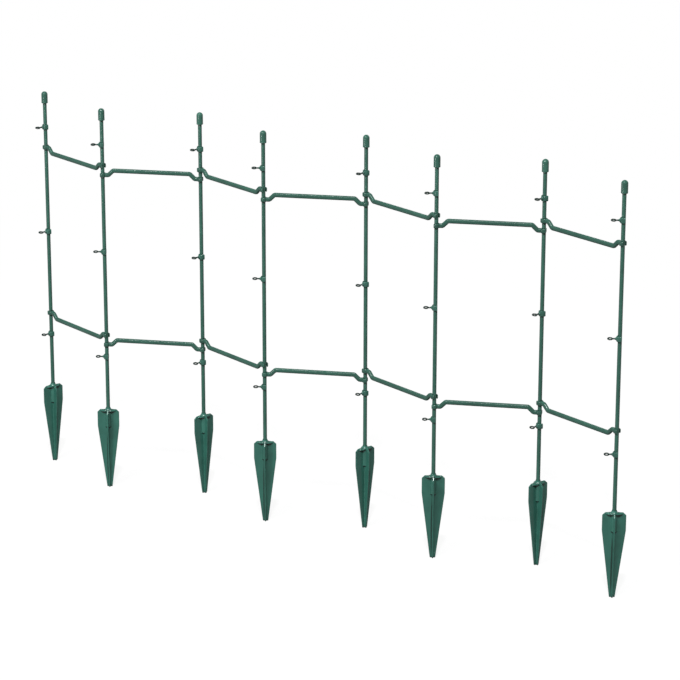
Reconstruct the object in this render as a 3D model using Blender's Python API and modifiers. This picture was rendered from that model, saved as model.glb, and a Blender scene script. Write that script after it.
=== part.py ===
"""Folding plant support: eight ground-spiked stakes joined in a zig-zag by cranked clip-on bars.

Metres, +Z up. X runs along the screen, Y is its depth, and the blunt spike tips rest on Z = 0.
Odd stakes stand at the back of the zig-zag and even stakes at the front.
"""

import math

import bmesh
import bpy
from mathutils import Matrix, Vector

# Screen layout.
STAKE_COUNT = 8
BAY_LENGTH = 0.2052
BAY_ANGLE = math.radians(20.0)
STAKE_HEIGHT = 0.820
ODD_STAKE_SPIN = math.radians(245.0)
EVEN_STAKE_SPIN = math.radians(208.0)

# Places along a stake: the upper bar under the stake's top, the outer clips beyond the bars.
UPPER_BAR_DROP = 0.1300
BAR_SPACING = 0.3645
TOP_CLIP_RISE = 0.0538
LOW_CLIP_DROP = 0.0369

# Fit between a stake tube and everything pushed or snapped onto it.
SLIP_GAP = 0.0003

# Coated stake tube with its push-on cap.
TUBE_RADIUS = 0.0040
TUBE_WALL = 0.0008
CAP_WALL = 0.0027
CAP_LENGTH = 0.0250
CAP_EDGE = 0.0010
CAP_DOME_STEPS = 3

# Ground spike: two wide and two narrower tapered fins, an oval crown plate under their shoulders
# and a socket for the tube.
SPIKE_LENGTH = 0.1770
COLLAR_LENGTH = 0.0048
WING_RADIUS = 0.0227
WING_SHOULDER = 0.0167
WING_DROP = 0.0055
RIB_RADIUS = 0.0153
RIB_SHOULDER = 0.0093
RIB_DROP = 0.0068
FIN_STRAIGHT = 0.0307
FIN_THICKNESS = 0.0028
FIN_EDGE = 0.0005
TIP_RADIUS = 0.0054
CROWN_LENGTH = 0.0326
CROWN_WIDTH = 0.0130
CROWN_THICKNESS = 0.0028
CROWN_RISE = 0.0009
CROWN_EDGE = 0.0006
CROWN_STEPS = 20
SOCKET_WALL = 0.0014
SOCKET_DEPTH = 0.0400
SOCKET_FLOOR = 0.0030
COLLAR_LIP = 0.0004
COLLAR_FLARE = 0.0023
COLLAR_STEPS = 2

# Connecting bar: a straight rail cranked at both ends into a snap ring.
BAR_HEIGHT = 0.0082
BAR_DEPTH = 0.0074
BAR_EDGE = 0.0016
CRANK_RISE = 0.0099
CRANK_START = 0.0120
CRANK_END = 0.0222
RING_WALL = 0.0028
RING_HEIGHT = 0.0090
RING_EDGE = 0.0016
RING_MOUTH = math.radians(90.0)

# Tie clip: a snap collar, a tapering neck and a round eyelet.
COLLAR_WALL = 0.0022
COLLAR_HEIGHT = 0.0110
COLLAR_EDGE = 0.0014
COLLAR_MOUTH = math.radians(120.0)
NECK_ROOT_RADIUS = 0.0037
NECK_SHOULDER = 0.0080
NECK_SHOULDER_RADIUS = 0.0026
NECK_END = 0.0100
NECK_RADIUS = 0.0014
EYELET_REACH = 0.0181
EYELET_HOLE_RADIUS = 0.0030
EYELET_WIRE_RADIUS = 0.0011
EYELET_ROLL = math.radians(-7.0)

# Facets round the turned pieces.
TUBE_STEPS = 16
RING_STEPS = 12
CLIP_STEPS = 12
EYELET_STEPS = 12
WIRE_STEPS = 5
NECK_STEPS = 8

MERGE = 0.000005
FLAT_SEAM = math.radians(0.3)
CUT_MARGIN = 0.001


def clear_scene():
    for obj in list(bpy.data.objects):
        bpy.data.objects.remove(obj, do_unlink=True)


def make_material(name, colour, roughness, metallic):
    material = bpy.data.materials.new(name)
    material.use_nodes = True
    shader = material.node_tree.nodes["Principled BSDF"]
    shader.inputs["Base Color"].default_value = (*colour, 1.0)
    shader.inputs["Roughness"].default_value = roughness
    shader.inputs["Metallic"].default_value = metallic
    return material


def work_object(name, data):
    obj = bpy.data.objects.new(name, data)
    bpy.context.scene.collection.objects.link(obj)
    return obj


def bake(obj):
    """The evaluated mesh of a work object, which is then removed."""
    graph = bpy.context.evaluated_depsgraph_get()
    mesh = bpy.data.meshes.new_from_object(obj.evaluated_get(graph))
    mesh.transform(obj.matrix_world)
    bpy.data.objects.remove(obj, do_unlink=True)
    return mesh


def tidy(mesh):
    work = bmesh.new()
    work.from_mesh(mesh)
    bmesh.ops.remove_doubles(work, verts=work.verts, dist=MERGE)
    bmesh.ops.dissolve_degenerate(work, edges=work.edges, dist=MERGE)
    bmesh.ops.dissolve_limit(work, angle_limit=FLAT_SEAM, verts=work.verts, edges=work.edges)
    bmesh.ops.recalc_face_normals(work, faces=work.faces)
    work.to_mesh(mesh)
    work.free()
    return mesh


def turned(profile, steps, closed=False):
    """Revolve an XZ profile about Z; an open profile starts and ends on the axis."""
    mesh = bpy.data.meshes.new("profile")
    edges = [(i, i + 1) for i in range(len(profile) - 1)]
    if closed:
        edges.append((len(profile) - 1, 0))
    mesh.from_pydata([(x, 0.0, z) for x, z in profile], edges, [])
    obj = work_object("turned", mesh)
    screw = obj.modifiers.new("turn", "SCREW")
    screw.axis = "Z"
    screw.steps = steps
    screw.render_steps = steps
    screw.use_merge_vertices = True
    screw.merge_threshold = MERGE
    screw.use_normal_calculate = True
    return tidy(bake(obj))


def plate(outline, thickness):
    """A filled XY outline given a thickness centred on Z = 0."""
    curve = bpy.data.curves.new("outline", "CURVE")
    curve.dimensions = "2D"
    curve.fill_mode = "BOTH"
    curve.extrude = thickness / 2
    spline = curve.splines.new("POLY")
    spline.points.add(len(outline) - 1)
    for point, (x, y) in zip(spline.points, outline):
        point.co = (x, y, 0.0, 1.0)
    spline.use_cyclic_u = True
    return tidy(bake(work_object("plate", curve)))


def bevelled(mesh, width, segments=1, limit=30.0):
    obj = work_object("bevelled", mesh)
    bevel = obj.modifiers.new("edge", "BEVEL")
    bevel.width = width
    bevel.segments = segments
    bevel.limit_method = "ANGLE"
    bevel.angle_limit = math.radians(limit)
    return tidy(bake(obj))


def moved(mesh, matrix):
    mesh.transform(matrix)
    return mesh


def combined(base, other, operation):
    base_object = work_object("base", base)
    other_object = work_object("other", other)
    boolean = base_object.modifiers.new("combine", "BOOLEAN")
    boolean.operation = operation
    boolean.solver = "EXACT"
    boolean.object = other_object
    mesh = bake(base_object)
    bpy.data.objects.remove(other_object, do_unlink=True)
    return tidy(mesh)


def rod(radius, depth, steps):
    """A cylinder about Z, centred on the origin."""
    mesh = bpy.data.meshes.new("rod")
    work = bmesh.new()
    bmesh.ops.create_cone(work, cap_ends=True, segments=steps, radius1=radius, radius2=radius, depth=depth)
    work.to_mesh(mesh)
    work.free()
    return mesh


def bore_radius(steps):
    """Corner radius of a faceted bore whose flats clear the tube by SLIP_GAP."""
    return (TUBE_RADIUS + SLIP_GAP) / math.cos(math.pi / steps)


def mouth_cutter(radius, height, mouth, direction):
    """A wedge from the bore axis that opens a snap ring towards +X or -X."""
    reach = radius / math.cos(mouth / 2) + CUT_MARGIN
    outline = [
        (0.0, 0.0),
        (direction * reach * math.cos(mouth / 2), -direction * reach * math.sin(mouth / 2)),
        (direction * reach * math.cos(mouth / 2), direction * reach * math.sin(mouth / 2)),
    ]
    return plate(outline, height + 2 * CUT_MARGIN)


def ring_profile(inner, outer, height, edge):
    """Section of a snap ring: straight bore, barrel-shaped outside."""
    half = height / 2
    return [
        (inner, half),
        (outer - edge, half),
        (outer, half - edge),
        (outer, edge - half),
        (outer - edge, -half),
        (inner, -half),
    ]


def offset_strip(path, half_height):
    """Outline of a constant-height strip along a bent centre line, with mitred bends."""
    points = [Vector(p) for p in path]
    upper = []
    lower = []
    for index, point in enumerate(points):
        before = points[max(index - 1, 0)]
        after = points[min(index + 1, len(points) - 1)]
        first = (point - before).normalized() if index > 0 else (after - point).normalized()
        second = (after - point).normalized() if index < len(points) - 1 else first
        normal = (Vector((-first.y, first.x)) + Vector((-second.y, second.x))).normalized()
        reach = half_height / normal.dot(Vector((-first.y, first.x)))
        upper.append(point + normal * reach)
        lower.append(point - normal * reach)
    return [tuple(p) for p in lower] + [tuple(p) for p in reversed(upper)]


def tube_mesh():
    """Hollow coated tube whose domed cap closes its top; origin on the tube's lower end."""
    length = STAKE_HEIGHT - (SPIKE_LENGTH - SOCKET_DEPTH) - SLIP_GAP
    bore = TUBE_RADIUS - TUBE_WALL
    cap_radius = TUBE_RADIUS + CAP_WALL
    dome_base = length - cap_radius
    profile = [(0.0, length)]
    for step in range(1, CAP_DOME_STEPS + 1):
        angle = math.radians(90.0) * step / CAP_DOME_STEPS
        profile.append((cap_radius * math.sin(angle), dome_base + cap_radius * math.cos(angle)))
    cap_bottom = length - CAP_LENGTH
    profile += [
        (cap_radius, cap_bottom + CAP_EDGE),
        (cap_radius - CAP_EDGE, cap_bottom),
        (TUBE_RADIUS, cap_bottom),
        (TUBE_RADIUS, 0.0),
        (bore, 0.0),
        (bore, dome_base),
        (0.0, dome_base),
    ]
    return turned(profile, TUBE_STEPS)


def fin_pair(radius, shoulder, drop):
    """Two opposite fins as one upright plate in the XZ plane, with sloping shoulders."""
    top = SPIKE_LENGTH - COLLAR_LENGTH
    right = [
        (TIP_RADIUS, 0.0),
        (radius, top - WING_DROP - FIN_STRAIGHT),
        (radius, top - drop),
        (shoulder, top),
    ]
    left = [(-x, z) for x, z in reversed(right)]
    mesh = bevelled(plate(right + left, FIN_THICKNESS), FIN_EDGE, limit=60.0)
    return moved(mesh, Matrix.Rotation(math.radians(90.0), 4, "X"))


def crown_plate(top):
    """Oval plate round the socket, long across the wide fins."""
    outline = []
    for step in range(CROWN_STEPS):
        angle = 2 * math.pi * (step + 0.5) / CROWN_STEPS
        outline.append((CROWN_LENGTH / 2 * math.cos(angle), CROWN_WIDTH / 2 * math.sin(angle)))
    mesh = bevelled(plate(outline, CROWN_THICKNESS), CROWN_EDGE, limit=60.0)
    return moved(mesh, Matrix.Translation((0.0, 0.0, top - CROWN_THICKNESS / 2)))


def spike_mesh():
    """Ground spike, blunt tip on Z = 0: the wide fins lie along X and the narrower ones along Y."""
    bore = bore_radius(TUBE_STEPS)
    socket = bore + SOCKET_WALL
    socket_bottom = SPIKE_LENGTH - SOCKET_DEPTH
    neck = []
    for step in range(COLLAR_STEPS + 1):
        share = step / COLLAR_STEPS
        radius = bore + COLLAR_LIP + COLLAR_FLARE * (1 - math.cos(share * math.pi / 2))
        neck.append((radius, SPIKE_LENGTH - COLLAR_LENGTH * share))
    crown_top = SPIKE_LENGTH - COLLAR_LENGTH - CROWN_RISE
    body = [(0.0, SPIKE_LENGTH)] + neck + [
        (socket, crown_top - CROWN_THICKNESS / 2),
        (socket, socket_bottom - SOCKET_FLOOR),
        (0.0, socket_bottom - SOCKET_FLOOR),
    ]
    quarter_turn = Matrix.Rotation(math.radians(90.0), 4, "Z")
    mesh = fin_pair(WING_RADIUS, WING_SHOULDER, WING_DROP)
    ribs = moved(fin_pair(RIB_RADIUS, RIB_SHOULDER, RIB_DROP), quarter_turn)
    mesh = combined(mesh, ribs, "UNION")
    mesh = combined(mesh, crown_plate(crown_top), "UNION")
    mesh = combined(mesh, turned(body, TUBE_STEPS), "UNION")
    hole_depth = SOCKET_DEPTH + CUT_MARGIN
    hole = moved(
        rod(bore, hole_depth, TUBE_STEPS),
        Matrix.Translation((0.0, 0.0, socket_bottom + hole_depth / 2)),
    )
    return combined(mesh, hole, "DIFFERENCE")


def bar_mesh():
    """Bar along +X from the left stake's axis, its rings CRANK_RISE above the rail."""
    path = [
        (TUBE_RADIUS, CRANK_RISE),
        (CRANK_START, CRANK_RISE),
        (CRANK_END, 0.0),
        (BAY_LENGTH - CRANK_END, 0.0),
        (BAY_LENGTH - CRANK_START, CRANK_RISE),
        (BAY_LENGTH - TUBE_RADIUS, CRANK_RISE),
    ]
    mesh = bevelled(plate(offset_strip(path, BAR_HEIGHT / 2), BAR_DEPTH), BAR_EDGE, limit=60.0)
    mesh = moved(mesh, Matrix.Rotation(math.radians(90.0), 4, "X"))
    bore = bore_radius(RING_STEPS)
    outer = bore + RING_WALL
    half_step = Matrix.Rotation(math.pi / RING_STEPS, 4, "Z")
    for x, direction in ((0.0, -1.0), (BAY_LENGTH, 1.0)):
        place = Matrix.Translation((x, 0.0, CRANK_RISE))
        barrel = [(0.0, RING_HEIGHT / 2)] + ring_profile(bore, outer, RING_HEIGHT, RING_EDGE)[1:-1]
        barrel.append((0.0, -RING_HEIGHT / 2))
        mesh = combined(mesh, moved(turned(barrel, RING_STEPS), place @ half_step), "UNION")
        hole = rod(bore, RING_HEIGHT + 2 * CUT_MARGIN, RING_STEPS)
        mesh = combined(mesh, moved(hole, place @ half_step), "DIFFERENCE")
        wedge = mouth_cutter(outer, RING_HEIGHT, RING_MOUTH, direction)
        mesh = combined(mesh, moved(wedge, place), "DIFFERENCE")
    return mesh


def clip_mesh():
    """Tie clip about the stake axis with its eyelet towards +X and its mouth towards -X."""
    bore = bore_radius(CLIP_STEPS)
    outer = bore + COLLAR_WALL
    half = COLLAR_HEIGHT / 2
    barrel = [(0.0, half)] + ring_profile(bore, outer, COLLAR_HEIGHT, COLLAR_EDGE)[1:-1] + [(0.0, -half)]
    mesh = turned(barrel, CLIP_STEPS)
    major = EYELET_HOLE_RADIUS + EYELET_WIRE_RADIUS
    neck = [
        (0.0, EYELET_REACH - major),
        (NECK_RADIUS, EYELET_REACH - major),
        (NECK_RADIUS, NECK_END),
        (NECK_SHOULDER_RADIUS, NECK_SHOULDER),
        (NECK_ROOT_RADIUS, bore),
        (0.0, bore),
    ]
    along_x = Matrix.Rotation(math.radians(90.0), 4, "Y")
    mesh = combined(mesh, moved(turned(neck, NECK_STEPS), along_x), "UNION")
    section = []
    for step in range(WIRE_STEPS):
        angle = 2 * math.pi * (step + 0.5) / WIRE_STEPS
        section.append((major + EYELET_WIRE_RADIUS * math.sin(angle), EYELET_WIRE_RADIUS * math.cos(angle)))
    place = Matrix.Translation((EYELET_REACH, 0.0, 0.0)) @ Matrix.Rotation(EYELET_ROLL, 4, "X")
    mesh = combined(mesh, moved(turned(section, EYELET_STEPS, closed=True), place), "UNION")
    hole = rod(bore, COLLAR_HEIGHT + 2 * CUT_MARGIN, CLIP_STEPS)
    mesh = combined(mesh, hole, "DIFFERENCE")
    return combined(mesh, mouth_cutter(outer, COLLAR_HEIGHT, COLLAR_MOUTH, -1.0), "DIFFERENCE")


def add_piece(collection, name, mesh, location, rotation):
    obj = bpy.data.objects.new(name, mesh)
    obj.location = location
    obj.rotation_euler = rotation
    collection.objects.link(obj)
    return obj


def smooth(obj, angle):
    obj.data.shade_smooth()
    obj.data.set_sharp_from_angle(angle=math.radians(angle))


def stake_axis(number):
    """Ground point of a stake; stake 1 is the left end at the back."""
    middle = (STAKE_COUNT + 1) / 2
    side = 1.0 if number % 2 else -1.0
    x = (number - middle) * BAY_LENGTH * math.cos(BAY_ANGLE)
    y = side * BAY_LENGTH * math.sin(BAY_ANGLE) / 2
    return x, y


def build():
    clear_scene()
    collection = bpy.data.collections.new("plant_support")
    bpy.context.scene.collection.children.link(collection)

    tube = tube_mesh()
    tube.name = "tube"
    tube.materials.append(make_material("coated_tube_green", (0.060, 0.150, 0.110), 0.42, 0.0))
    spike = spike_mesh()
    spike.name = "spike"
    spike.materials.append(make_material("spike_plastic_green", (0.045, 0.135, 0.098), 0.38, 0.0))
    bar = bar_mesh()
    bar.name = "bar"
    bar.materials.append(make_material("bar_plastic_green", (0.050, 0.140, 0.104), 0.40, 0.0))
    clip = clip_mesh()
    clip.name = "clip"
    clip.materials.append(make_material("clip_plastic_green", (0.040, 0.125, 0.090), 0.45, 0.0))

    tube_bottom = SPIKE_LENGTH - SOCKET_DEPTH + SLIP_GAP
    upper_bar = STAKE_HEIGHT - UPPER_BAR_DROP
    lower_bar = upper_bar - BAR_SPACING
    top_clip = upper_bar + TOP_CLIP_RISE
    low_clip = lower_bar - LOW_CLIP_DROP
    clip_levels = (("low", low_clip), ("mid", (low_clip + top_clip) / 2), ("top", top_clip))
    pieces = []
    for number in range(1, STAKE_COUNT + 1):
        x, y = stake_axis(number)
        spin = ODD_STAKE_SPIN if number % 2 else EVEN_STAKE_SPIN
        pieces.append(add_piece(collection, f"tube_{number}", tube, (x, y, tube_bottom), (0.0, 0.0, spin)))
        pieces.append(add_piece(collection, f"spike_{number}", spike, (x, y, 0.0), (0.0, 0.0, spin)))
        for place, level in clip_levels:
            name = f"clip_{number}_{place}"
            pieces.append(add_piece(collection, name, clip, (x, y, level), (0.0, 0.0, spin)))
    for number in range(1, STAKE_COUNT):
        x, y = stake_axis(number)
        odd = number % 2 == 1
        heading = -BAY_ANGLE if odd else BAY_ANGLE
        flip = 0.0 if odd else math.pi
        for place, level in (("low", lower_bar), ("top", upper_bar)):
            name = f"bar_{number}_{place}"
            pieces.append(add_piece(collection, name, bar, (x, y, level), (flip, 0.0, heading)))
    for obj in pieces:
        smooth(obj, 40.0)


build()
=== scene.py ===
"""Looks of the folding plant support: fine moulded pieces, green polymers, studio and camera."""

import math

import bmesh
import bpy
from mathutils import Euler, Matrix, Vector


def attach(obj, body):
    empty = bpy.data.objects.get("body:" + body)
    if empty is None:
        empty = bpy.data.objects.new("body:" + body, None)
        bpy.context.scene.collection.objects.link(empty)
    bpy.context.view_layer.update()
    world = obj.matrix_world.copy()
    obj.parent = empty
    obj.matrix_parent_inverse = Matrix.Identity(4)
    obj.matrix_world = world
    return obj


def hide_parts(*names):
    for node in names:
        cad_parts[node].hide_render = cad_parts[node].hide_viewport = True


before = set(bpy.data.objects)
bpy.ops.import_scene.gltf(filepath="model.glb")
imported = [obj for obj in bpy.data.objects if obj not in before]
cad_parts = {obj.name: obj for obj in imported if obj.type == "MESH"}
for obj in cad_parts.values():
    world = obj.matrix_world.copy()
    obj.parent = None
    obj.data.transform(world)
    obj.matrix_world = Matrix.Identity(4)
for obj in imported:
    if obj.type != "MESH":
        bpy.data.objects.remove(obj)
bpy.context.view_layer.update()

# Lengths are in metres, but for the camera's sensor and lens, which are in millimetres. The camera
# is fitted to the photograph, which is taken as 680 by 680 pixels.
PHOTO_SIDE = 680.0
FOCAL_PIXELS = 2633.6
AXIS_PIXEL = (315.65, 232.84)
CAMERA_PLACE = (2.53001, -4.32458, 2.02592)
CAMERA_AZIMUTH = math.radians(30.3054)
CAMERA_DOWN = math.radians(15.7147)
CAMERA_ROLL = math.radians(-0.0632)
SENSOR_WIDTH = 36.0
CLIP_START = 0.1
CLIP_END = 60.0

# Screen layout, as in the solids.
STAKE_COUNT = 8
BAY_LENGTH = 0.2052
BAY_ANGLE = math.radians(20.0)
STAKE_HEIGHT = 0.820
ODD_STAKE_SPIN = math.radians(245.0)
EVEN_STAKE_SPIN = math.radians(208.0)
BAR_LEVELS = (("low", 0.3255), ("top", 0.6900))
CLIP_LEVELS = (("low", 0.2886), ("mid", 0.5162), ("top", 0.7438))

# Meshes: points closer than the weld become one, and edges up to the angle are shaded smooth.
# A hair is the shortest straight stretch that an outline keeps.
WELD = 0.000002
SMOOTH_ANGLE = math.radians(38.0)
ROUND_SIDES = 48
HAIR = 0.0001

# Tube and cap. The cap's lip is rolled, a low band follows it, and the wall above is drawn in.
# The dome starts some degrees above its own equator.
TUBE_RADIUS = 0.0040
TUBE_EDGE = 0.0003
TUBE_LIFT = 0.0003
TUBE_ROWS = 4
TUBE_TOP_DEPTH = 0.0066
CAP_RADIUS = 0.0067
CAP_LENGTH = 0.0250
CAP_EDGE = 0.0008
CAP_FLOOR_DEPTH = 0.0064
CAP_CLEARANCE = 0.00004
CAP_MOUTH = 0.0004
CAP_BAND = (0.0022, 0.0027)
CAP_DRAFT = 0.00012
CAP_DOME_DRAFT = 0.0001
CAP_DOME_START = 4.0
CAP_WALL_END = 0.001

# Ground spike: wide fins along X, narrower ribs along Y, an oval crown plate under the collar.
SPIKE_LENGTH = 0.1770
SOCKET_BOTTOM = 0.1370
BOSS_BOTTOM = 0.1340
BOSS_RADIUS = 0.00578
BORE_RADIUS = 0.0043
BORE_EDGE = 0.0001
FIN_TOP = 0.1722
FIN_TAPER_TOP = 0.1360
FIN_TAPER_BEND = 0.0006
WING_RADIUS = 0.0227
WING_SHOULDER = 0.0167
WING_SHOULDER_LEVEL = 0.1667
RIB_RADIUS = 0.0150
RIB_SHOULDER = 0.0093
RIB_SHOULDER_LEVEL = 0.1647
SHOULDER_BEND = 0.0004
TIP_RADIUS = 0.0054
FIN_HALF = 0.0014
FIN_CORNER = 0.0005
FIN_EDGE = 0.0005
FIN_END_FLAT = 0.6
FIN_FILLET = 0.0007
FILLET_ROOM = 0.4
CORE_RADIUS = 0.0026
CROWN_LONG = 0.0326 / 2
CROWN_SHORT = 0.0130 / 2
CROWN_TOP = 0.1713
CROWN_BOTTOM = 0.1685
COLLAR_RADIUS = 0.00478
COLLAR_FLARE = 0.0023
COLLAR_FOOT = 0.0072
COLLAR_FOOT_DRAFT = 0.00005
COLLAR_RIM = 0.0002
COLLAR_RIM_INSET = 0.00015
COLLAR_ROWS = 8

# Heights of the spike's cross sections along the fins, and along the boss.
SHANK_ROWS = (0.012, 0.030, 0.050, 0.070, 0.090, 0.110, 0.124, BOSS_BOTTOM - 0.0006)
BOSS_ROWS = (
    BOSS_BOTTOM + 0.0009,
    FIN_TAPER_TOP - FIN_TAPER_BEND,
    FIN_TAPER_TOP + FIN_TAPER_BEND,
    0.1500,
    0.1600,
    RIB_SHOULDER_LEVEL - SHOULDER_BEND,
    RIB_SHOULDER_LEVEL + SHOULDER_BEND,
    WING_SHOULDER_LEVEL - SHOULDER_BEND,
    WING_SHOULDER_LEVEL + SHOULDER_BEND,
    CROWN_BOTTOM - 0.0008,
)
# Rounded edges of boss and crown plate: height and radii of the core along X and Y.
BOSS_EDGE_ROWS = (
    (BOSS_BOTTOM - 0.0002, CORE_RADIUS + 0.0003, CORE_RADIUS + 0.0003),
    (BOSS_BOTTOM, CORE_RADIUS + 0.0010, CORE_RADIUS + 0.0010),
    (BOSS_BOTTOM, BOSS_RADIUS - 0.0008, BOSS_RADIUS - 0.0008),
    (BOSS_BOTTOM + 0.0003, BOSS_RADIUS - 0.0002, BOSS_RADIUS - 0.0002),
)
CROWN_ROWS = (
    (CROWN_BOTTOM - 0.0002, BOSS_RADIUS + 0.0001, BOSS_RADIUS + 0.0001),
    (CROWN_BOTTOM, BOSS_RADIUS + 0.0004, BOSS_RADIUS + 0.0004),
    (CROWN_BOTTOM, CROWN_LONG - 0.0006, CROWN_SHORT - 0.0002),
    (CROWN_BOTTOM + 0.0002, CROWN_LONG - 0.0002, CROWN_SHORT - 0.0001),
    (CROWN_BOTTOM + 0.0006, CROWN_LONG, CROWN_SHORT),
    (CROWN_TOP - 0.0014, CROWN_LONG, CROWN_SHORT),
    (CROWN_TOP - 0.0010, CROWN_LONG - 0.0002, CROWN_SHORT - 0.0002),
    (CROWN_TOP - 0.0004, CROWN_LONG - 0.0007, CROWN_SHORT - 0.0006),
    (CROWN_TOP, CROWN_LONG - 0.0015, CROWN_SHORT - 0.0010),
    (CROWN_TOP + 0.0001, 0.0100, CROWN_SHORT - 0.0006),
)
# The last section under the collar, where the fins' faces begin to be drawn in by a share of
# their edge.
CROWN_LAST_ROW = (CROWN_TOP + 0.0003, (0.0076, CROWN_SHORT + 0.0002), FIN_EDGE * 0.3)

# Connecting bar. Its rail starts a gap outside the rings' holes.
BAR_HEIGHT = 0.0089
BAR_DEPTH = 0.0074
BAR_CORNER = 0.0031
CRANK_RISE = 0.0099
CRANK_START = 0.0120
CRANK_END = 0.0222
CRANK_BEND = 0.0046
RING_INNER = 0.00440
RAIL_GAP = 0.0003

# Snap rings: inner and outer radius, height, rounding of the outside, mouth and flare of the lips.
SNAP_RING = (RING_INNER, 0.00720, 0.0090, 0.0016, math.radians(90.0), 0.0)
SNAP_COLLAR = (0.00435, 0.00663, 0.0110, 0.0014, math.radians(120.0), 0.0010)
RING_CHAMFER = 0.0006
RING_STEPS = 44
# Curve of a snap ring's outer edge, in shares of its rounding: inwards, and down from the end.
RING_EDGE_CURVE = ((1.0, 0.0), (0.45, 0.30), (0.12, 0.75), (0.0, 1.35))
# Lips of a snap ring, in shares of half its wall: how far the rounding starts from the mouth, how
# long it is, and how thin it ends; its height is a fixed share plus one that goes with the wall.
LIP_SEAT = 0.5
LIP_LENGTH = 0.6
LIP_THINNEST = 0.02
LIP_STEPS = 4
LIP_HEIGHT = (0.86, 0.14)
# Sweep over which the flare dies out, in radians.
FLARE_SWEEP = 0.55

# Tie clip. The neck's profile is radius and distance from the stake's axis.
NECK_PROFILE = (
    (0.0, 0.00450),
    (0.00370, 0.00450),
    (0.00350, 0.00520),
    (0.00330, 0.00600),
    (0.00312, 0.00680),
    (0.00285, 0.00740),
    (0.00250, 0.00800),
    (0.00210, 0.00850),
    (0.00178, 0.00900),
    (0.00160, 0.00950),
    (0.00150, 0.01010),
    (0.00148, 0.01090),
    (0.00148, 0.01270),
    (0.00135, 0.01420),
    (0.0, 0.01420),
)
NECK_SIDES = 24
EYELET_REACH = 0.0181
EYELET_MAJOR = 0.0041
EYELET_WIRE = 0.00135
EYELET_ROLL = math.radians(-7.0)
EYELET_AROUND = 40
EYELET_ACROSS = 14

# Places painted dark: centre and radii of an oval in the piece's own axes, and depth.
# Painted shadows: under the crown plate, under the boss, and beside the even spikes' rib roots.
PAINTED_SHADOW_UNDER_CROWN = ((0.0, 0.0, 0.1683), (0.0166, 0.0072, 0.0048), 1.0)
PAINTED_SHADOW_UNDER_BOSS = ((0.0, 0.0, 0.1336), (0.0068, 0.0068, 0.0028), 0.90)
PAINTED_RIB_SHADOWS = (
    ((0.0027, 0.0020, 0.0660), (0.0020, 0.0017, 0.0720), 0.78),
    ((-0.0027, -0.0020, 0.0660), (0.0020, 0.0017, 0.0720), 0.78),
)
# The clip's eyelet is darkened towards its round end.
ROUND_EYELET = ((0.0190, 0.0, 0.0), (0.0116, 0.0075, 0.0075), 0.85)

# Finishes: the green is a linear colour, the streaks have a scale along each of the piece's axes,
# wear is how pale its edges are rubbed, and the shade painted into crevices ends where the
# openness reaches open_from.
SPIKE_FINISH = {
    "colour": (0.030, 0.126, 0.096),
    "roughness": 0.45,
    "coat_roughness": 0.22,
    "bump": 0.30,
    "streak": (60.0, 60.0, 14.0),
    "wear": 0.2,
    "open_from": 0.60,
}
FINISHES = {
    "coated_tube": {
        "colour": (0.030, 0.107, 0.078),
        "roughness": 0.46,
        "coat_roughness": 0.18,
        "bump": 0.08,
        "streak": (420.0, 420.0, 3.0),
        "wear": 0.2,
        "open_from": 0.90,
    },
    "cap_plastic": {
        "colour": (0.030, 0.107, 0.078),
        "roughness": 0.45,
        "coat_roughness": 0.14,
        "bump": 0.10,
        "streak": (70.0, 70.0, 30.0),
        "wear": 0.4,
        "open_from": 0.85,
    },
    "spike_plastic": {**SPIKE_FINISH, "painted_darkening": (PAINTED_SHADOW_UNDER_CROWN, PAINTED_SHADOW_UNDER_BOSS)},
    "spike_plastic_painted_rib_shadows": {**SPIKE_FINISH, "painted_darkening": (PAINTED_SHADOW_UNDER_CROWN, PAINTED_SHADOW_UNDER_BOSS, *PAINTED_RIB_SHADOWS)},
    "bar_plastic": {
        "colour": (0.025, 0.086, 0.063),
        "roughness": 0.46,
        "coat_roughness": 0.18,
        "bump": 0.08,
        "streak": (16.0, 90.0, 90.0),
        "wear": 0.5,
        "open_from": 0.85,
    },
    "clip_plastic": {
        "colour": (0.030, 0.105, 0.079),
        "roughness": 0.48,
        "coat_roughness": 0.22,
        "bump": 0.18,
        "streak": (90.0, 90.0, 90.0),
        "wear": 0.5,
        "open_from": 0.85,
        "painted_darkening": (ROUND_EYELET,),
    },
}

# What all finishes share: noise scales and details, brightness of rubbed places, and brightness of
# places painted dark (painted shade in crevices, painted shadows, the darker eyelet).
POLYMER_IOR = 1.49
BASE_SPECULAR = 0.04
CLOUD_NOISE = (34.0, 5.0)
FLOW_NOISE = (1.0, 4.0)
PATCH_NOISE = (210.0, 3.0)
FINE_NOISE = (1500.0, 2.0)
RUBBED_BRIGHTNESS = 2.3
PAINTED_DARK_BRIGHTNESS = 0.05
# Shade painted into crevices by ambient occlusion: reach, samples, closed limit and depth.
CREVICE_REACH = 0.0065
CREVICE_SAMPLES = 8
CREVICE_CLOSED = 0.30
CREVICE_DEPTH = 0.95
BUMP_HEIGHT = 0.0002
FINE_BUMP_SHARE = 0.35
# Ramps: the value's lower and upper limit, and what it becomes at each.
CLOUD_TONE = (0.30, 0.70, 0.86, 1.13)
FLOW_TONE = (0.28, 0.72, 0.90, 1.09)
PIECE_TONE = (0.0, 1.0, 0.95, 1.05)
DULL_WHERE_UP = (0.66, 0.90, 0.0, 1.0)
DULL_WHERE_DOWN = (-0.75, -0.25, 1.0, 0.0)
DULL_ROUGHNESS = (0.0, 1.0, 0.0, 0.35)
DULL_COAT = (0.0, 1.0, 0.42, 0.05)
# Lower and upper limits alone.
RUBBED_POINTINESS = (0.53, 0.62)
DARK_OVAL_FADE = (0.70, 1.05)
GLOSS_PATCHES = (0.25, 0.75)
GLOSS_SPREAD = (-0.07, 0.10)

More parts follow.
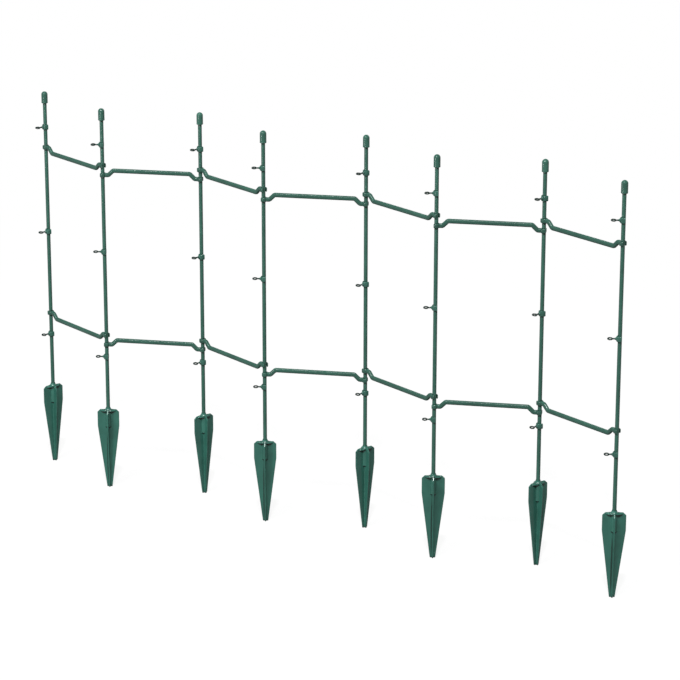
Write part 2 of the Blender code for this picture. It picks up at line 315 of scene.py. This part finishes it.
# Lamps: azimuth in degrees from -Y towards +X, elevation in degrees, distance from the middle of
# the screen, width, height and power. The strip stands near, for the tubes' thin highlight.
LAMP_TARGET = Vector((0.0, 0.0, 0.42))
LAMP_DISTANCE = 9.0
STRIP_DISTANCE = 2.5
LAMPS = (
    ("key_softbox", 29.0, 54.0, LAMP_DISTANCE, 0.6, 0.6, 580.0),
    ("front_softbox", 8.0, 52.0, LAMP_DISTANCE, 3.6, 1.5, 290.0),
    ("side_softbox", -15.0, 52.0, LAMP_DISTANCE, 3.6, 1.5, 310.0),
    ("strip_softbox", -20.0, 0.0, STRIP_DISTANCE, 0.18, 0.8, 14.5),
    ("back_softbox", 208.0, 27.0, LAMP_DISTANCE, 2.6, 2.0, 340.0),
)

# Surroundings, white where they are seen directly and dim for the light that they give.
WHITE = (1.0, 1.0, 1.0, 1.0)
WORLD_LIGHT = 0.02
FLOOR_REACH = 14.0
FLOOR_DIM = (0.10, 0.10, 0.10, 1.0)
FLOOR_SEEN = (0.92, 0.92, 0.92, 1.0)
FLOOR_ROUGHNESS = 0.9
# Ramp from the distance to the floor's middle to its plain white, which hides far shadows.
FLOOR_FADE = (0.8, 2.6, 0.86, 1.0)


def skinned(name, shells):
    """One mesh from shells; each shell is a list of equal closed loops, capped at both ends."""
    points = []
    faces = []
    for loops in shells:
        count = len(loops[0])
        first = len(points)
        for loop in loops:
            points.extend(loop)
        for row in range(len(loops) - 1):
            low = first + row * count
            high = low + count
            for k in range(count):
                n = (k + 1) % count
                faces.append((low + k, low + n, high + n, high + k))
        faces.append(tuple(range(first + count - 1, first - 1, -1)))
        last = first + (len(loops) - 1) * count
        faces.append(tuple(range(last, last + count)))
    mesh = bpy.data.meshes.new(name)
    mesh.from_pydata(points, [], faces)
    return cleaned(mesh)


def cleaned(mesh):
    """Welds the poles, turns every face outward and shades smooth up to an angle."""
    work = bmesh.new()
    work.from_mesh(mesh)
    bmesh.ops.remove_doubles(work, verts=work.verts, dist=WELD)
    bmesh.ops.dissolve_degenerate(work, edges=work.edges, dist=WELD)
    bmesh.ops.recalc_face_normals(work, faces=work.faces)
    work.to_mesh(mesh)
    work.free()
    mesh.shade_smooth()
    mesh.set_sharp_from_angle(angle=SMOOTH_ANGLE)
    return mesh


def ring_loop(radius, z, steps):
    return [
        (radius * math.cos(2 * math.pi * k / steps), radius * math.sin(2 * math.pi * k / steps), z)
        for k in range(steps)
    ]


def arc(centre, radius, start, end, steps):
    """Points of an arc, both ends included; angles in degrees."""
    points = []
    for k in range(steps + 1):
        a = math.radians(start + (end - start) * k / steps)
        points.append((centre[0] + radius * math.cos(a), centre[1] + radius * math.sin(a)))
    return points


def turned_shell(profile, steps):
    return [ring_loop(max(r, 0.0), z, steps) for r, z in profile]


def tube_mesh():
    """Smooth coated tube from the socket floor into the cap."""
    top = STAKE_HEIGHT - TUBE_TOP_DEPTH - SOCKET_BOTTOM - TUBE_LIFT
    profile = [(0.0, 0.0), (TUBE_RADIUS - TUBE_EDGE, 0.0), (TUBE_RADIUS, TUBE_EDGE)]
    profile += [(TUBE_RADIUS, top * k / TUBE_ROWS) for k in range(1, TUBE_ROWS + 1)]
    profile.append((0.0, top))
    return skinned("stake_tube", [turned_shell(profile, ROUND_SIDES)])


def cap_mesh():
    """Domed cap, origin at the stake's top: rolled lip, slight draft, hemispherical end."""
    lip = -CAP_LENGTH
    inside = TUBE_RADIUS + CAP_CLEARANCE
    wall = CAP_RADIUS - CAP_DRAFT
    profile = [(0.0, -CAP_FLOOR_DEPTH), (inside, -CAP_FLOOR_DEPTH)]
    profile += [(inside, lip + CAP_MOUTH), (inside + CAP_MOUTH, lip)]
    profile += arc((CAP_RADIUS - CAP_EDGE, lip + CAP_EDGE), CAP_EDGE, -90.0, 0.0, 5)
    profile += [(CAP_RADIUS, lip + CAP_BAND[0]), (wall, lip + CAP_BAND[1])]
    profile += [(wall, -CAP_RADIUS - CAP_WALL_END)]
    profile += arc((0.0, -CAP_RADIUS), CAP_RADIUS - CAP_DOME_DRAFT, CAP_DOME_START, 90.0, 14)
    profile[-1] = (0.0, -CAP_DOME_DRAFT)
    return skinned("end_cap", [turned_shell(profile, ROUND_SIDES)])


def section_quarter(wing, rib, core, half, corner):
    """Outline from the middle of a wing's end to the middle of a rib's end round an oval core."""
    long, short = core
    wing_root = long * math.sqrt(1 - (half / short) ** 2)
    rib_root = short * math.sqrt(1 - (half / long) ** 2)
    start = math.atan2(half / short, wing_root / long)
    end = math.atan2(rib_root / short, half / long)
    first = FIN_FILLET / math.hypot(long * math.sin(start), short * math.cos(start))
    last = FIN_FILLET / math.hypot(long * math.sin(end), short * math.cos(end))
    over = min(1.0, FILLET_ROOM * (end - start) / max(first, last))
    start += first * over
    end -= last * over

    def on_core(angle):
        return long * math.cos(angle), short * math.sin(angle)

    def fillet(one, knee, two):
        curve = []
        for share in (0.25, 0.5, 0.75):
            rest = 1 - share
            first, middle, last = rest * rest, 2 * rest * share, share * share
            curve.append(
                tuple(first * o + middle * k + last * t for o, k, t in zip(one, knee, two))
            )
        return curve

    def fin(reach, root):
        points = [(reach, 0.0), (reach, (half - corner) * FIN_END_FLAT)]
        points += arc((reach - corner, half - corner), corner, 0.0, 90.0, 3)
        inner = min(root + FIN_FILLET, reach - corner - HAIR)
        for k in range(1, 6):
            points.append((reach - corner + (inner - reach + corner) * k / 5, half))
        return points

    points = fin(wing, wing_root)
    points += fillet(points[-1], (wing_root, half), on_core(start))
    for k in range(7):
        points.append(on_core(start + (end - start) * k / 6))
    side = [(y, x) for x, y in reversed(fin(rib, rib_root))]
    points += fillet(points[-1], (half, rib_root), side[0])
    return points + side


def whole_section(quarter, z):
    """Mirrors a quarter outline to the whole closed loop."""
    half_loop = quarter + [(-x, y) for x, y in reversed(quarter[:-1])]
    loop = half_loop + [(x, -y) for x, y in reversed(half_loop[1:-1])]
    return [(x, y, z) for x, y in loop]


def fin_reach(z, radius, shoulder, level):
    if z < FIN_TAPER_TOP:
        return TIP_RADIUS + (radius - TIP_RADIUS) * z / FIN_TAPER_TOP
    if z < level:
        return radius
    return radius + (shoulder - radius) * (z - level) / (FIN_TOP - level)


def spike_rows():
    """Cross sections from the tip to the collar: height, radii of the core, inset of the fins."""
    quarter_turn = [math.radians(30.0 * k) for k in range(4)]
    rows = []
    for a in quarter_turn:
        inset = FIN_EDGE * (1 - math.sin(a))
        rows.append((FIN_EDGE * (1 - math.cos(a)), (CORE_RADIUS, CORE_RADIUS), inset))
    rows += [(z, (CORE_RADIUS, CORE_RADIUS), 0.0) for z in SHANK_ROWS]
    rows += [(z, (long, short), 0.0) for z, long, short in BOSS_EDGE_ROWS]
    rows += [(z, (BOSS_RADIUS, BOSS_RADIUS), 0.0) for z in BOSS_ROWS]
    rows += [(z, (long, short), 0.0) for z, long, short in CROWN_ROWS]
    rows.append(CROWN_LAST_ROW)
    for k, a in enumerate(quarter_turn):
        foot = COLLAR_FOOT - COLLAR_FOOT_DRAFT * k
        inset = FIN_EDGE * (1 - math.cos(a))
        rows.append((FIN_TOP - FIN_EDGE + FIN_EDGE * math.sin(a), (foot, foot), inset))
    return rows


def spike_mesh():
    """Filleted fins round a core, boss and crown plate, with the concave collar and its bore."""
    loops = []
    for z, core, inset in spike_rows():
        half = FIN_HALF - inset
        wing = fin_reach(z, WING_RADIUS, WING_SHOULDER, WING_SHOULDER_LEVEL) - inset
        rib = fin_reach(z, RIB_RADIUS, RIB_SHOULDER, RIB_SHOULDER_LEVEL) - inset
        quarter = section_quarter(wing, rib, core, half, min(FIN_CORNER, half - HAIR))
        loops.append(whole_section(quarter, z))
    spokes = [math.atan2(y, x) for x, y in quarter]

    def round_row(radius, z):
        return whole_section([(radius * math.cos(a), radius * math.sin(a)) for a in spokes], z)

    rim = SPIKE_LENGTH - COLLAR_RIM
    for k in range(COLLAR_ROWS, -1, -1):
        share = k / COLLAR_ROWS
        radius = COLLAR_RADIUS + COLLAR_FLARE * (1 - math.cos(share * math.pi / 2))
        loops.append(round_row(radius, rim - (rim - FIN_TOP) * share))
    loops.append(round_row(COLLAR_RADIUS - COLLAR_RIM_INSET, SPIKE_LENGTH))
    loops.append(round_row(BORE_RADIUS + BORE_EDGE, SPIKE_LENGTH))
    loops.append(round_row(BORE_RADIUS, rim))
    loops.append(round_row(BORE_RADIUS, SOCKET_BOTTOM))
    return skinned("ground_spike", [loops])


def bent_path(corners, bend, steps):
    """Centre line in the XZ plane whose inner corners are rounded to a bend radius."""
    points = [Vector(corners[0])]
    for before, corner, after in zip(corners, corners[1:], corners[2:]):
        corner = Vector(corner)
        first = (Vector(before) - corner).normalized()
        second = (Vector(after) - corner).normalized()
        half = first.angle(second) / 2
        back = bend / math.tan(half)
        centre = corner + (first + second).normalized() * bend / math.sin(half)
        start = corner + first * back - centre
        sweep = math.pi - 2 * half
        side = 1.0 if first.cross(second) < 0 else -1.0
        for k in range(steps + 1):
            a = side * sweep * k / steps
            c, s = math.cos(a), math.sin(a)
            points.append(centre + Vector((start.x * c - start.y * s, start.x * s + start.y * c)))
    points.append(Vector(corners[-1]))
    return points


def rail_shell(path, height, depth, corner):
    """Rounded-box section swept along a centre line in the XZ plane."""
    outline = []
    for sx, sy, start in ((1, 1, 0.0), (-1, 1, 90.0), (-1, -1, 180.0), (1, -1, 270.0)):
        middle = (sx * (depth / 2 - corner), sy * (height / 2 - corner))
        outline += arc(middle, corner, start, start + 90.0, 4)
    loops = []
    for index, point in enumerate(path):
        before = path[max(index - 1, 0)]
        after = path[min(index + 1, len(path) - 1)]
        along = (after - before).normalized()
        up = Vector((-along.y, along.x))
        loops.append([(point.x + up.x * v, u, point.y + up.y * v) for u, v in outline])
    return loops


def open_ring_shell(form, direction, x, z):
    """Snap ring, barrel-shaped outside, with rounded lips; its mouth opens towards +X or -X."""
    inner, outer, height, edge, mouth, flare = form
    half = height / 2
    middle = (inner + outer) / 2
    section = [(inner, 0.0), (inner, half * 0.5)]
    section += [(inner, half - RING_CHAMFER), (inner + RING_CHAMFER, half)]
    section += [(outer - edge * inwards, half - edge * down) for inwards, down in RING_EDGE_CURVE]
    section += [(outer, 0.0)]
    section += [(r, -h) for r, h in reversed(section[1:-1])]

    lip = (outer - inner) / 2
    gap = mouth / 2 + lip * LIP_SEAT / middle
    ends = []
    for k in range(LIP_STEPS + 1):
        a = math.radians(90.0 * k / LIP_STEPS)
        ends.append((lip * LIP_LENGTH * math.sin(a) / middle, max(math.cos(a), LIP_THINNEST)))
    stations = [(gap - beyond, size) for beyond, size in reversed(ends)]
    for k in range(1, RING_STEPS):
        stations.append((gap + (2 * math.pi - 2 * gap) * k / RING_STEPS, 1.0))
    stations += [(2 * math.pi - gap + beyond, size) for beyond, size in ends]

    start = 0.0 if direction > 0 else math.pi
    loops = []
    for angle, size in stations:
        c, s = math.cos(start + angle), math.sin(start + angle)
        from_lip = min(angle, 2 * math.pi - angle) - gap
        lift = flare * max(0.0, 1 - max(from_lip, 0.0) / FLARE_SWEEP) ** 2
        rise = LIP_HEIGHT[0] + LIP_HEIGHT[1] * size
        loop = []
        for r, h in section:
            radius = middle + lift + (r - middle) * size
            loop.append((x + radius * c, radius * s, z + h * rise))
        loops.append(loop)
    return loops


def bar_mesh():
    """Cranked rail with its two open snap rings; origin on the left stake's axis at rail level."""
    start = RING_INNER + RAIL_GAP
    corners = [
        (start, CRANK_RISE),
        (CRANK_START, CRANK_RISE),
        (CRANK_END, 0.0),
        (BAY_LENGTH - CRANK_END, 0.0),
        (BAY_LENGTH - CRANK_START, CRANK_RISE),
        (BAY_LENGTH - start, CRANK_RISE),
    ]
    path = bent_path(corners, CRANK_BEND, 5)
    shells = [rail_shell(path, BAR_HEIGHT, BAR_DEPTH, BAR_CORNER)]
    for x, direction in ((0.0, -1.0), (BAY_LENGTH, 1.0)):
        shells.append(open_ring_shell(SNAP_RING, direction, x, CRANK_RISE))
    return skinned("connecting_bar", shells)


def eyelet():
    """Points and faces of the round wire eyelet, rolled a little about the neck."""
    c, s = math.cos(EYELET_ROLL), math.sin(EYELET_ROLL)
    points = []
    faces = []
    for i in range(EYELET_AROUND):
        a = 2 * math.pi * i / EYELET_AROUND
        here = i * EYELET_ACROSS
        there = (i + 1) % EYELET_AROUND * EYELET_ACROSS
        for j in range(EYELET_ACROSS):
            b = 2 * math.pi * j / EYELET_ACROSS
            r = EYELET_MAJOR + EYELET_WIRE * math.cos(b)
            side = r * math.sin(a)
            rise = EYELET_WIRE * math.sin(b)
            x = EYELET_REACH + r * math.cos(a)
            points.append((x, side * c - rise * s, side * s + rise * c))
            n = (j + 1) % EYELET_ACROSS
            faces.append((here + j, there + j, there + n, here + n))
    return points, faces


def clip_mesh():
    """Snap collar, waisted neck and round eyelet towards +X."""
    neck = [[(z, x, y) for x, y, z in loop] for loop in turned_shell(NECK_PROFILE, NECK_SIDES)]
    body = skinned("tie_clip", [open_ring_shell(SNAP_COLLAR, -1.0, 0.0, 0.0), neck])
    offset = len(body.vertices)
    points = [tuple(v.co) for v in body.vertices]
    polygons = [tuple(p.vertices) for p in body.polygons]
    wire, faces = eyelet()
    polygons += [tuple(offset + i for i in face) for face in faces]
    joined = bpy.data.meshes.new("tie_clip")
    joined.from_pydata(points + wire, [], polygons)
    bpy.data.meshes.remove(body)
    return cleaned(joined)


def oriented(mesh, rotation):
    """Copy turned in place; the attribute "grain" keeps the piece's own axes for its material."""
    copy = mesh.copy()
    own = copy.attributes.new("grain", "FLOAT_VECTOR", "POINT")
    for item, vertex in zip(own.data, copy.vertices):
        item.vector = vertex.co
    copy.transform(Euler(rotation).to_matrix().to_4x4())
    return copy


def set_inputs(node, values):
    for name, value in values.items():
        node.inputs[name].default_value = value
    return node


def scaled(colour, factor):
    return (colour[0] * factor, colour[1] * factor, colour[2] * factor, 1.0)


def ramp(tree, value, low, high, first, second):
    """The value's range from low to high, turned into the range from first to second."""
    band = tree.nodes.new("ShaderNodeMapRange")
    set_inputs(band, {"From Min": low, "From Max": high, "To Min": first, "To Max": second})
    tree.links.new(value, band.inputs["Value"])
    return band.outputs["Result"]


def combined(tree, operation, first, second):
    pair = tree.nodes.new("ShaderNodeMath")
    pair.operation = operation
    tree.links.new(first, pair.inputs[0])
    tree.links.new(second, pair.inputs[1])
    return pair.outputs["Value"]


def length_of(tree, vector):
    span = tree.nodes.new("ShaderNodeVectorMath")
    span.operation = "LENGTH"
    tree.links.new(vector, span.inputs[0])
    return span.outputs["Value"]


def noise(tree, vector, scale, detail):
    texture = set_inputs(tree.nodes.new("ShaderNodeTexNoise"), {"Scale": scale, "Detail": detail})
    tree.links.new(vector, texture.inputs["Vector"])
    return texture.outputs["Fac"]


def painted_dark_oval(tree, vector, centre, radii, depth):
    for operation, value in (("SUBTRACT", centre), ("DIVIDE", radii)):
        step = tree.nodes.new("ShaderNodeVectorMath")
        step.operation = operation
        step.inputs[1].default_value = value
        tree.links.new(vector, step.inputs[0])
        vector = step.outputs["Vector"]
    return ramp(tree, length_of(tree, vector), *DARK_OVAL_FADE, depth, 0.0)


def moulded_material(
    name, colour, roughness, coat_roughness, bump, streak, wear, open_from, painted_darkening=()
):
    """Green polymer: cloudy tone, flow streaks, fine grain, rubbed edges, shade painted into
    crevices, and ovals painted dark, mostly painted shadows.
    """
    material = bpy.data.materials.new(name)
    material.use_nodes = True
    tree = material.node_tree
    nodes = tree.nodes
    links = tree.links
    shader = nodes["Principled BSDF"]
    set_inputs(shader, {"Metallic": 0.0, "IOR": POLYMER_IOR, "Specular IOR Level": BASE_SPECULAR})
    set_inputs(shader, {"Coat Roughness": coat_roughness, "Coat IOR": POLYMER_IOR})

    own = nodes.new("ShaderNodeObjectInfo")
    grain_axes = nodes.new("ShaderNodeAttribute")
    grain_axes.attribute_name = "grain"
    place = nodes.new("ShaderNodeVectorMath")
    place.operation = "ADD"
    links.new(grain_axes.outputs["Vector"], place.inputs[0])
    links.new(own.outputs["Random"], place.inputs[1])
    stretch = set_inputs(nodes.new("ShaderNodeMapping"), {"Scale": streak})
    links.new(place.outputs["Vector"], stretch.inputs["Vector"])
    cloud = noise(tree, place.outputs["Vector"], *CLOUD_NOISE)
    flow = noise(tree, stretch.outputs["Vector"], *FLOW_NOISE)
    patch = noise(tree, place.outputs["Vector"], *PATCH_NOISE)
    fine = noise(tree, place.outputs["Vector"], *FINE_NOISE)

    cloudy = ramp(tree, cloud, *CLOUD_TONE)
    shade = combined(tree, "MULTIPLY", cloudy, ramp(tree, flow, *FLOW_TONE))
    piece_tone = ramp(tree, own.outputs["Random"], *PIECE_TONE)
    shade = combined(tree, "MULTIPLY", shade, piece_tone)
    tinted = nodes.new("ShaderNodeVectorMath")
    tinted.operation = "SCALE"
    tinted.inputs[0].default_value = colour
    links.new(shade, tinted.inputs["Scale"])

    geometry = nodes.new("ShaderNodeNewGeometry")
    edges = ramp(tree, geometry.outputs["Pointiness"], *RUBBED_POINTINESS, 0.0, wear)
    rubbed = nodes.new("ShaderNodeMix")
    rubbed.data_type = "RGBA"
    links.new(combined(tree, "MULTIPLY", edges, patch), rubbed.inputs["Factor"])
    links.new(tinted.outputs["Vector"], rubbed.inputs["A"])
    rubbed.inputs["B"].default_value = scaled(colour, RUBBED_BRIGHTNESS)

    # Painted shade: ambient occlusion darkens the colour in crevices and where parts meet.
    crevice = nodes.new("ShaderNodeAmbientOcclusion")
    crevice.samples = CREVICE_SAMPLES
    crevice.inputs["Distance"].default_value = CREVICE_REACH
    painted_dark = ramp(tree, crevice.outputs["AO"], CREVICE_CLOSED, open_from, CREVICE_DEPTH, 0.0)
    # Painted shadows under the crown and boss and beside the rib roots; the eyelet is darkened.
    for centre, radii, depth in painted_darkening:
        dark_patch = painted_dark_oval(tree, grain_axes.outputs["Vector"], centre, radii, depth)
        painted_dark = combined(tree, "MAXIMUM", painted_dark, dark_patch)
    painted_dark_mix = nodes.new("ShaderNodeMix")
    painted_dark_mix.data_type = "RGBA"
    links.new(painted_dark, painted_dark_mix.inputs["Factor"])
    links.new(rubbed.outputs["Result"], painted_dark_mix.inputs["A"])
    painted_dark_mix.inputs["B"].default_value = scaled(colour, PAINTED_DARK_BRIGHTNESS)
    links.new(painted_dark_mix.outputs["Result"], shader.inputs["Base Color"])

    tilt = nodes.new("ShaderNodeSeparateXYZ")
    links.new(geometry.outputs["Normal"], tilt.inputs["Vector"])
    dull_up = ramp(tree, tilt.outputs["Z"], *DULL_WHERE_UP)
    dull_down = ramp(tree, tilt.outputs["Z"], *DULL_WHERE_DOWN)
    dull = combined(tree, "MAXIMUM", dull_up, dull_down)
    smoothest, roughest = [roughness + change for change in GLOSS_SPREAD]
    gloss = ramp(tree, patch, *GLOSS_PATCHES, smoothest, roughest)
    dulled = combined(tree, "ADD", gloss, ramp(tree, dull, *DULL_ROUGHNESS))
    links.new(dulled, shader.inputs["Roughness"])
    links.new(ramp(tree, dull, *DULL_COAT), shader.inputs["Coat Weight"])

    height = nodes.new("ShaderNodeMath")
    height.operation = "MULTIPLY_ADD"
    height.inputs[1].default_value = FINE_BUMP_SHARE
    links.new(fine, height.inputs[0])
    links.new(flow, height.inputs[2])
    relief = set_inputs(nodes.new("ShaderNodeBump"), {"Strength": bump, "Distance": BUMP_HEIGHT})
    links.new(height.outputs["Value"], relief.inputs["Height"])
    links.new(relief.outputs["Normal"], shader.inputs["Normal"])
    return material


def finished(mesh, finish):
    mesh.materials.append(moulded_material(finish, **FINISHES[finish]))
    return mesh


def stake_axis(number):
    """Ground point of a stake; stake 1 is the left end at the back."""
    side = 1.0 if number % 2 else -1.0
    x = (number - (STAKE_COUNT + 1) / 2) * BAY_LENGTH * math.cos(BAY_ANGLE)
    return x, side * BAY_LENGTH * math.sin(BAY_ANGLE) / 2


def place_piece(name, mesh, location, body, node):
    obj = bpy.data.objects.new(name, mesh)
    obj.location = location
    bpy.context.scene.collection.objects.link(obj)
    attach(obj, body)
    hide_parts(node)
    return obj


def dress():
    """Makes each kind of piece once for each direction that it points in, and places its copies."""
    tube = finished(tube_mesh(), "coated_tube")
    cap = finished(cap_mesh(), "cap_plastic")
    spike = finished(spike_mesh(), "spike_plastic")
    bar = finished(bar_mesh(), "bar_plastic")
    clip = finished(clip_mesh(), "clip_plastic")

    spins = ((0.0, 0.0, EVEN_STAKE_SPIN), (0.0, 0.0, ODD_STAKE_SPIN))
    tubes, caps, spikes, clips = [
        [oriented(mesh, spin) for spin in spins] for mesh in (tube, cap, spike, clip)
    ]
    bars = [oriented(bar, (math.pi, 0.0, BAY_ANGLE)), oriented(bar, (0.0, 0.0, -BAY_ANGLE))]
    # The even spikes also carry a painted shadow beside the roots of their ribs.
    painted_darkening = "spike_plastic_painted_rib_shadows"
    spikes[0].materials[0] = moulded_material(painted_darkening, **FINISHES[painted_darkening])
    for number in range(1, STAKE_COUNT + 1):
        x, y = stake_axis(number)
        odd = number % 2
        stake = f"stake_{number}"
        node = f"tube_{number}"
        bottom = SOCKET_BOTTOM + TUBE_LIFT
        place_piece(f"stake_{node}", tubes[odd], (x, y, bottom), stake, node)
        top = (x, y, STAKE_HEIGHT)
        place_piece(f"end_cap_{number}", caps[odd], top, stake, node)
        node = f"spike_{number}"
        place_piece(f"ground_{node}", spikes[odd], (x, y, 0.0), stake, node)
        for place, level in CLIP_LEVELS:
            node = f"clip_{number}_{place}"
            place_piece(f"tie_{node}", clips[odd], (x, y, level), node, node)
    for number in range(1, STAKE_COUNT):
        x, y = stake_axis(number)
        bar = bars[number % 2]
        for place, level in BAR_LEVELS:
            node = f"bar_{number}_{place}"
            place_piece(f"connecting_{node}", bar, (x, y, level), node, node)


def camera():
    data = bpy.data.cameras.new("photo_camera")
    data.sensor_width = SENSOR_WIDTH
    data.lens = data.sensor_width * FOCAL_PIXELS / PHOTO_SIDE
    data.shift_x = (PHOTO_SIDE / 2 - AXIS_PIXEL[0]) / PHOTO_SIDE
    data.shift_y = (AXIS_PIXEL[1] - PHOTO_SIDE / 2) / PHOTO_SIDE
    data.clip_start = CLIP_START
    data.clip_end = CLIP_END
    obj = bpy.data.objects.new("photo_camera", data)
    heading = Matrix.Rotation(CAMERA_AZIMUTH, 4, "Z")
    tilt = Matrix.Rotation(math.radians(90.0) - CAMERA_DOWN, 4, "X")
    roll = Matrix.Rotation(CAMERA_ROLL, 4, "Z")
    obj.matrix_world = Matrix.Translation(CAMERA_PLACE) @ heading @ tilt @ roll
    bpy.context.scene.collection.objects.link(obj)
    bpy.context.scene.camera = obj


def softbox(name, azimuth, elevation, distance, width, height, power):
    """Rectangular lamp aimed at the middle of the screen."""
    data = bpy.data.lights.new(name, "AREA")
    data.shape = "RECTANGLE"
    data.size = width
    data.size_y = height
    data.energy = power
    obj = bpy.data.objects.new(name, data)
    turn = math.radians(azimuth)
    rise = math.radians(elevation)
    level = math.cos(rise)
    way = Vector((math.sin(turn) * level, -math.cos(turn) * level, math.sin(rise)))
    obj.location = LAMP_TARGET + way * distance
    obj.visible_camera = False
    obj.rotation_euler = way.to_track_quat("Z", "Y").to_euler()
    bpy.context.scene.collection.objects.link(obj)


def seen_directly(tree):
    """1 for camera, glossy and transmission rays."""
    path = tree.nodes.new("ShaderNodeLightPath")
    total = path.outputs["Is Camera Ray"]
    for ray in ("Is Glossy Ray", "Is Transmission Ray"):
        total = combined(tree, "MAXIMUM", total, path.outputs[ray])
    return total


def mixed_shader(tree, factor, first, second):
    mix = tree.nodes.new("ShaderNodeMixShader")
    tree.links.new(factor, mix.inputs["Fac"])
    tree.links.new(first, mix.inputs[1])
    tree.links.new(second, mix.inputs[2])
    return mix.outputs["Shader"]


def surroundings():
    """World that is white to look at and gives little light."""
    world = bpy.data.worlds.new("studio")
    world.use_nodes = True
    tree = world.node_tree
    dim = set_inputs(tree.nodes["Background"], {"Color": WHITE, "Strength": WORLD_LIGHT})
    white = tree.nodes.new("ShaderNodeBackground")
    set_inputs(white, {"Color": WHITE, "Strength": 1.0})
    dim, white = dim.outputs["Background"], white.outputs["Background"]
    surface = mixed_shader(tree, seen_directly(tree), dim, white)
    tree.links.new(surface, tree.nodes["World Output"].inputs["Surface"])
    bpy.context.scene.world = world


def floor_material():
    """Pale matte paper under the object, which turns to plain white further out."""
    material = bpy.data.materials.new("floor_white")
    material.use_nodes = True
    tree = material.node_tree
    nodes = tree.nodes
    seen = seen_directly(tree)
    paper = nodes.new("ShaderNodeMix")
    paper.data_type = "RGBA"
    paper.inputs["A"].default_value = FLOOR_DIM
    paper.inputs["B"].default_value = FLOOR_SEEN
    tree.links.new(seen, paper.inputs["Factor"])
    matte = nodes["Principled BSDF"]
    set_inputs(matte, {"Roughness": FLOOR_ROUGHNESS, "Specular IOR Level": 0.0})
    tree.links.new(paper.outputs["Result"], matte.inputs["Base Color"])
    glow = nodes.new("ShaderNodeEmission")
    set_inputs(glow, {"Color": WHITE, "Strength": 1.0})
    spot = nodes.new("ShaderNodeNewGeometry")
    fade = ramp(tree, length_of(tree, spot.outputs["Position"]), *FLOOR_FADE)
    share = combined(tree, "MULTIPLY", seen, fade)
    surface = mixed_shader(tree, share, matte.outputs["BSDF"], glow.outputs["Emission"])
    tree.links.new(surface, nodes["Material Output"].inputs["Surface"])
    return material


def studio():
    surroundings()
    mesh = bpy.data.meshes.new("floor")
    sides = ((-1, -1), (1, -1), (1, 1), (-1, 1))
    corners = [(x * FLOOR_REACH, y * FLOOR_REACH, 0.0) for x, y in sides]
    mesh.from_pydata(corners, [], [(0, 1, 2, 3)])
    floor = bpy.data.objects.new("floor", mesh)
    bpy.context.scene.collection.objects.link(floor)
    mesh.materials.append(floor_material())
    for lamp in LAMPS:
        softbox(*lamp)


dress()
camera()
studio()
bpy.context.scene.view_settings.view_transform = "Standard"
